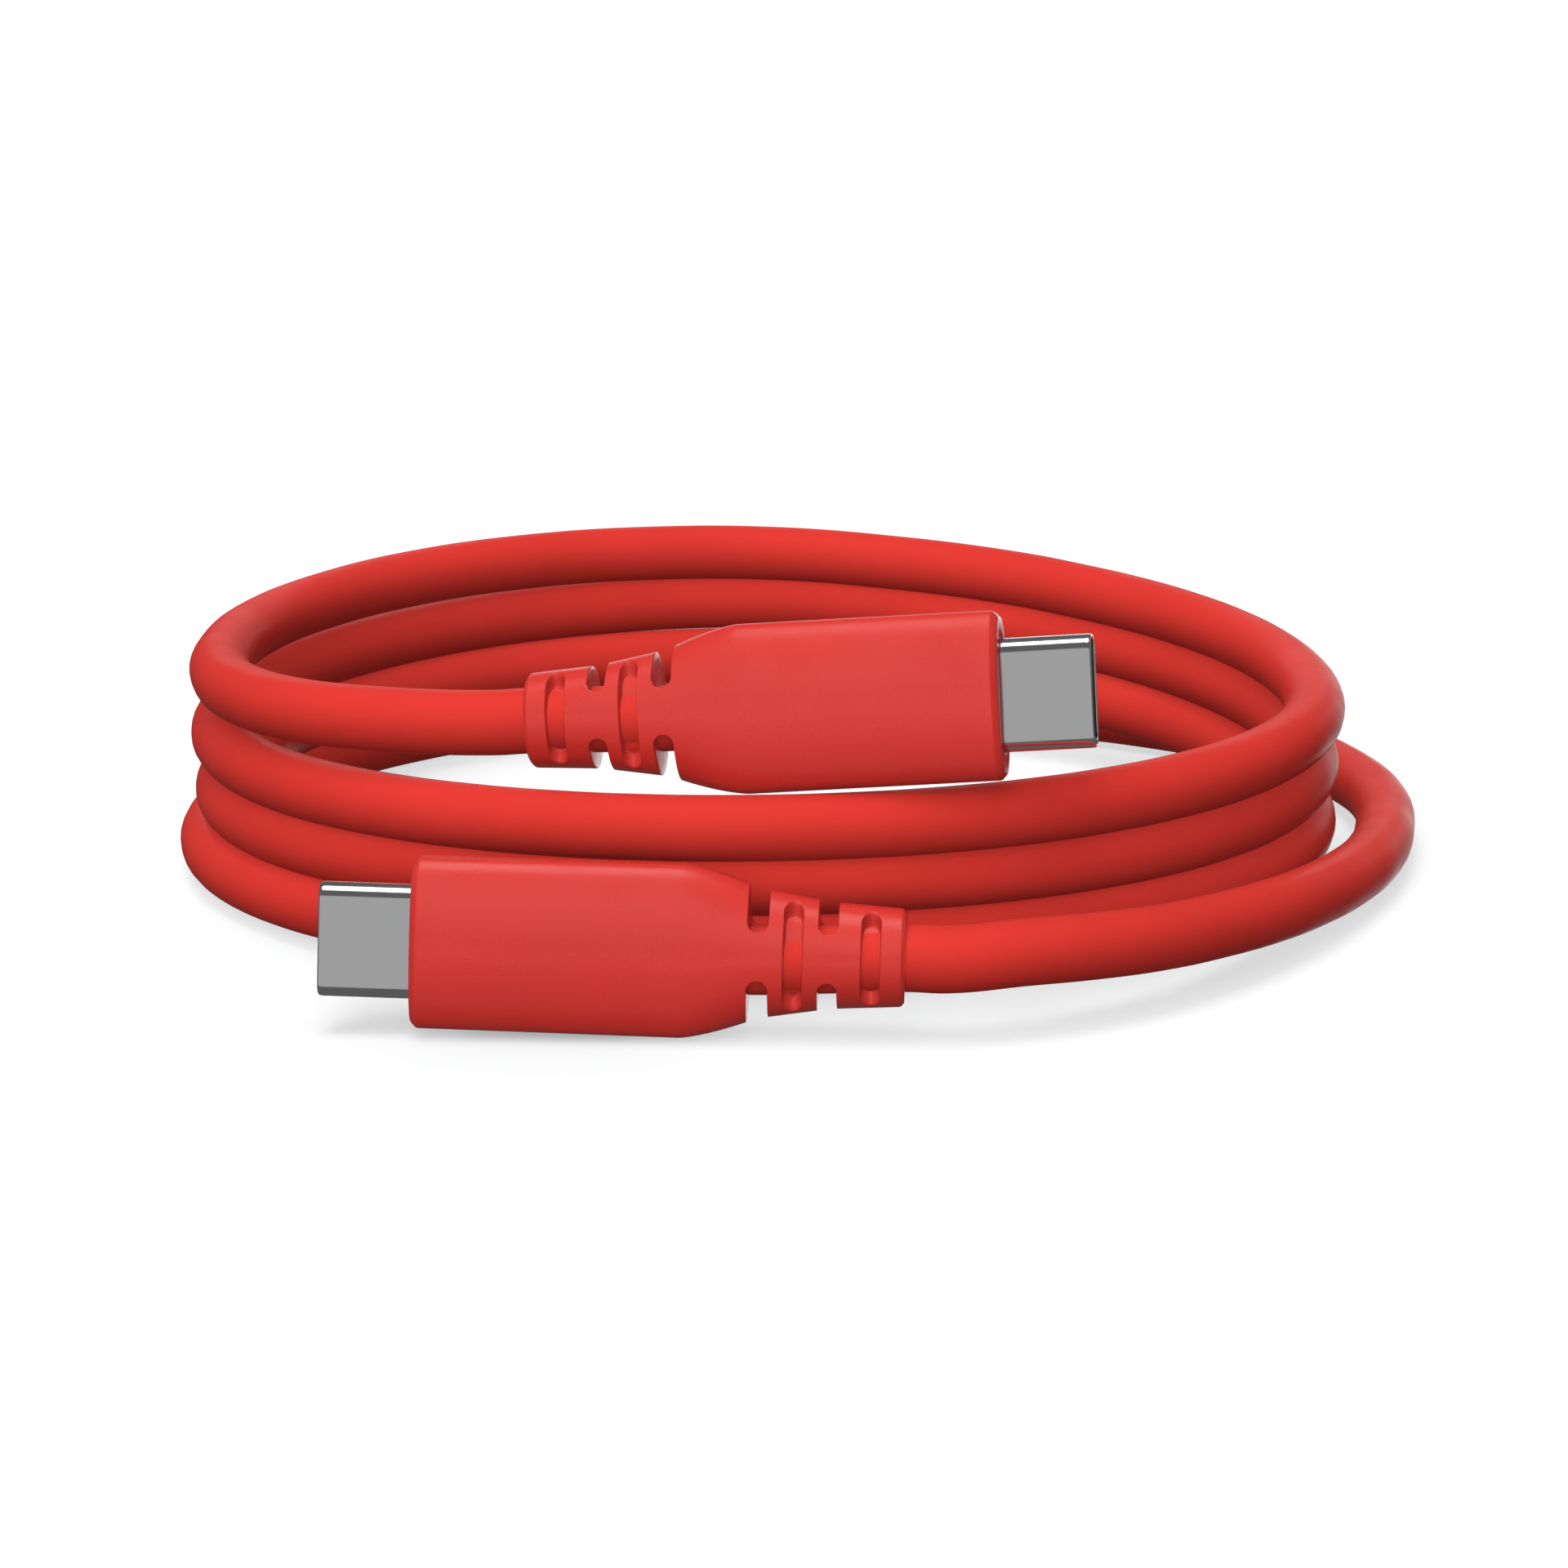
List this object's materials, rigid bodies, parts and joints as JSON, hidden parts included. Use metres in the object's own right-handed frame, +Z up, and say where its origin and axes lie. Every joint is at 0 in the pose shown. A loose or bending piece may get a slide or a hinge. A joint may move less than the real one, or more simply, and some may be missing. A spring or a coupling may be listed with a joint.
{
  "type": "coiled data cable",
  "caption": "Round red sheathed data cable wound in a loose flat coil, with a slim moulded plug, metal shell and notched strain relief on each end.",
  "frame": {"origin": "under the middle of the whole object's box, on the surface that the coil lies on", "axes": "+Z up, along the coil's axis; +Y towards the back of the coil, away from the two plugs; +X towards the side where the front plug's cable leaves"},
  "size_m": [0.1004, 0.1062, 0.0289],
  "materials": {
    "jacket": "satin red sheath",
    "grip": "satin red moulding",
    "shell_steel": "satin steel",
    "spring_steel": "bright spring steel",
    "shield_steel": "plain folded steel",
    "ferrule": "crimped steel",
    "gold": "gold plated",
    "lining": "black moulded plastic",
    "board": "green solder mask",
    "chip": "black moulded package",
    "potting": "milky hot melt",
    "wire_power": "red insulation",
    "wire_ground": "black insulation",
    "wire_data_plus": "green insulation",
    "wire_data_minus": "white insulation",
    "wire_channel": "blue insulation"
  },
  "bodies": {
    "cable": {"overmould_a": "grip", "shell_a": "shell_steel", "insulator_a": "lining", "contacts_top_a": "gold", "contacts_bottom_a": "gold", "mid_plate_a": "spring_steel", "ground_spring_top_a": "spring_steel", "ground_spring_bottom_a": "spring_steel", "paddle_card_a": "board", "marker_chip_a": "chip", "shield_top_a": "shield_steel", "shield_bottom_a": "shield_steel", "wire_potting_a": "potting", "wire_power_a": "wire_power", "wire_ground_a": "wire_ground", "wire_data_plus_a": "wire_data_plus", "wire_data_minus_a": "wire_data_minus", "wire_channel_a": "wire_channel", "crimp_ferrule_a": "ferrule", "cable_end_a": "jacket", "overmould_b": "grip", "shell_b": "shell_steel", "insulator_b": "lining", "contacts_top_b": "gold", "contacts_bottom_b": "gold", "mid_plate_b": "spring_steel", "ground_spring_top_b": "spring_steel", "ground_spring_bottom_b": "spring_steel", "paddle_card_b": "board", "marker_chip_b": "chip", "shield_top_b": "shield_steel", "shield_bottom_b": "shield_steel", "wire_potting_b": "potting", "wire_power_b": "wire_power", "wire_ground_b": "wire_ground", "wire_data_plus_b": "wire_data_plus", "wire_data_minus_b": "wire_data_minus", "wire_channel_b": "wire_channel", "crimp_ferrule_b": "ferrule", "cable_end_b": "jacket", "lead_a": "jacket", "lead_b": "jacket", "cable_coil": "jacket"},
    "latch_arm_left_a": {"latch_arm_left_a": "spring_steel"},
    "latch_arm_right_a": {"latch_arm_right_a": "spring_steel"},
    "latch_arm_left_b": {"latch_arm_left_b": "spring_steel"},
    "latch_arm_right_b": {"latch_arm_right_b": "spring_steel"}
  },
  "joints": [
    {"name": "latch_left_a_spring", "type": "hinge", "parent": "cable", "child": "latch_arm_left_a", "pos_m": [-0.02558, -0.04809, 0.01005], "axis": [0.0489, 0.9891, -0.1391], "range_deg": [0, 1.5], "stiffness_Nm_per_rad": 1},
    {"name": "latch_right_a_spring", "type": "hinge", "parent": "cable", "child": "latch_arm_right_a", "pos_m": [-0.02577, -0.04906, 0.0031], "axis": [-0.0489, -0.9891, 0.1391], "range_deg": [0, 1.5], "stiffness_Nm_per_rad": 1},
    {"name": "latch_left_b_spring", "type": "hinge", "parent": "cable", "child": "latch_arm_left_b", "pos_m": [0.01075, -0.03916, 0.02601], "axis": [-0.2078, -0.9463, 0.2476], "range_deg": [0, 1.5], "stiffness_Nm_per_rad": 1},
    {"name": "latch_right_b_spring", "type": "hinge", "parent": "cable", "child": "latch_arm_right_b", "pos_m": [0.01104, -0.04099, 0.01924], "axis": [0.2078, 0.9463, -0.2476], "range_deg": [0, 1.5], "stiffness_Nm_per_rad": 1}
  ]
}
